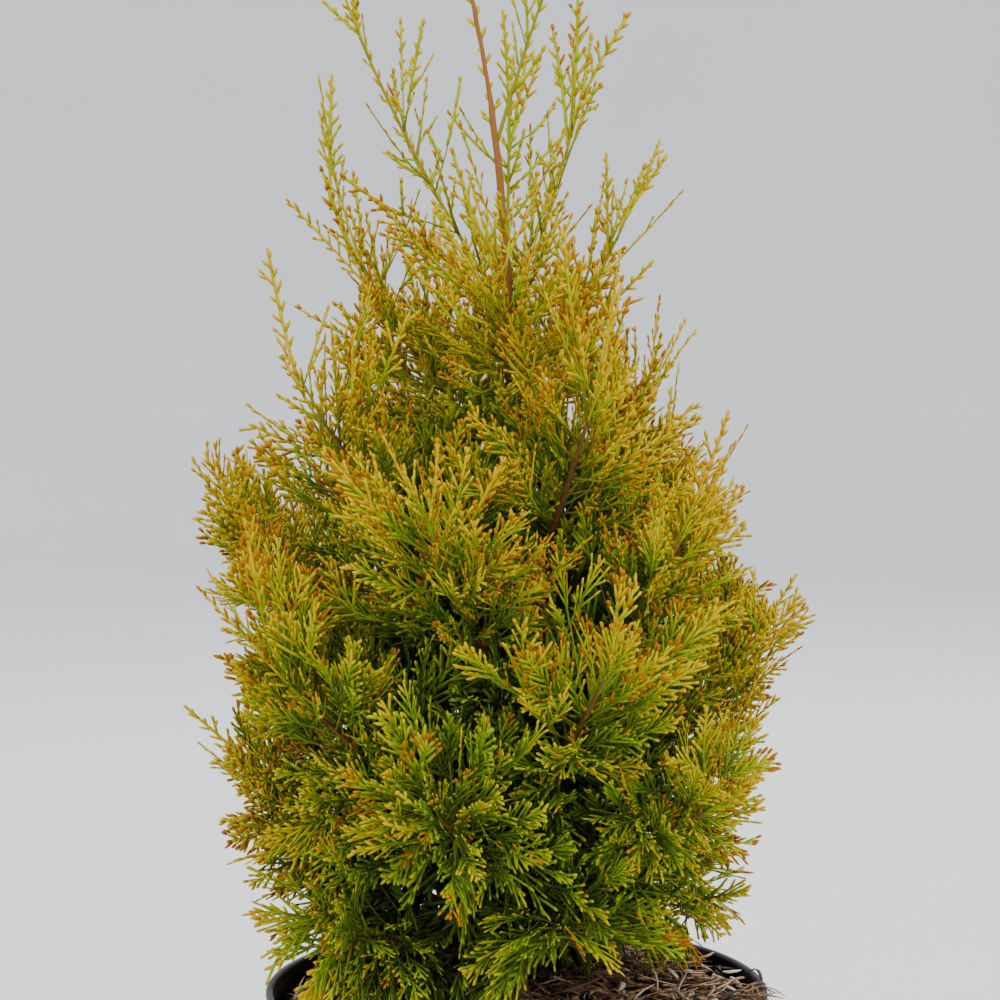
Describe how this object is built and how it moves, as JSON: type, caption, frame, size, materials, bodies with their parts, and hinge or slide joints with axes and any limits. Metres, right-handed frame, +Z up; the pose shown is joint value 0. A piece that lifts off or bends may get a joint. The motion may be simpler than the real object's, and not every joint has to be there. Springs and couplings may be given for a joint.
{
  "type": "potted golden thuja",
  "caption": "Young golden thuja with an open feathery top over a dense crown, growing in a round black nursery pot.",
  "frame": {"origin": "centre of the pot's flat underside, on the floor", "axes": "+Z up along the plant, +X to the right as the picture shows it, the picture's camera looks along +Y"},
  "size_m": [0.2837, 0.2615, 0.6552],
  "materials": {
    "pot": "satin black, moulded",
    "compost": "loose shredded bark",
    "bark": "thin reddish brown bark",
    "green_foliage": "green scale leaves",
    "gold_foliage": "golden scale leaves"
  },
  "bodies": {
    "root": {"pot": "pot", "compost": "compost", "trunk": "bark", "bough_skirt_1": "bark", "bough_skirt_2": "bark", "bough_skirt_3": "bark", "bough_skirt_4": "bark", "bough_skirt_5": "bark", "bough_low_1": "bark", "bough_low_2": "bark", "bough_low_3": "bark", "bough_low_4": "bark", "bough_low_5": "bark", "bough_wide_1": "bark", "bough_wide_2": "bark", "bough_wide_3": "bark", "bough_wide_4": "bark", "bough_wide_5": "bark", "bough_upper_1": "bark", "bough_upper_2": "bark", "bough_upper_3": "bark", "bough_upper_4": "bark", "bough_upper_5": "bark", "bough_shoulder_1": "bark", "bough_shoulder_2": "bark", "bough_shoulder_3": "bark", "bough_shoulder_4": "bark", "foliage_skirt_1": "green_foliage", "foliage_skirt_2": "green_foliage", "foliage_skirt_3": "green_foliage", "foliage_skirt_4": "green_foliage", "foliage_skirt_5": "green_foliage", "foliage_low_1": "green_foliage", "foliage_low_2": "green_foliage", "foliage_low_3": "green_foliage", "foliage_low_4": "green_foliage", "foliage_low_5": "green_foliage", "foliage_wide_1": "green_foliage", "foliage_wide_2": "green_foliage", "foliage_wide_3": "green_foliage", "foliage_wide_4": "green_foliage", "foliage_wide_5": "green_foliage", "foliage_upper_1": "gold_foliage", "foliage_upper_2": "gold_foliage", "foliage_upper_3": "gold_foliage", "foliage_upper_4": "gold_foliage", "foliage_upper_5": "gold_foliage", "foliage_shoulder_1": "gold_foliage", "foliage_shoulder_2": "gold_foliage", "foliage_shoulder_3": "gold_foliage", "foliage_shoulder_4": "gold_foliage", "foliage_crown_1": "gold_foliage", "foliage_crown_2": "gold_foliage", "foliage_crown_3": "gold_foliage", "foliage_crown_4": "gold_foliage", "foliage_left_shoot": "gold_foliage", "foliage_right_shoot": "gold_foliage", "foliage_back_shoot": "gold_foliage", "foliage_fork_shoot": "gold_foliage"}
  },
  "joints": []
}
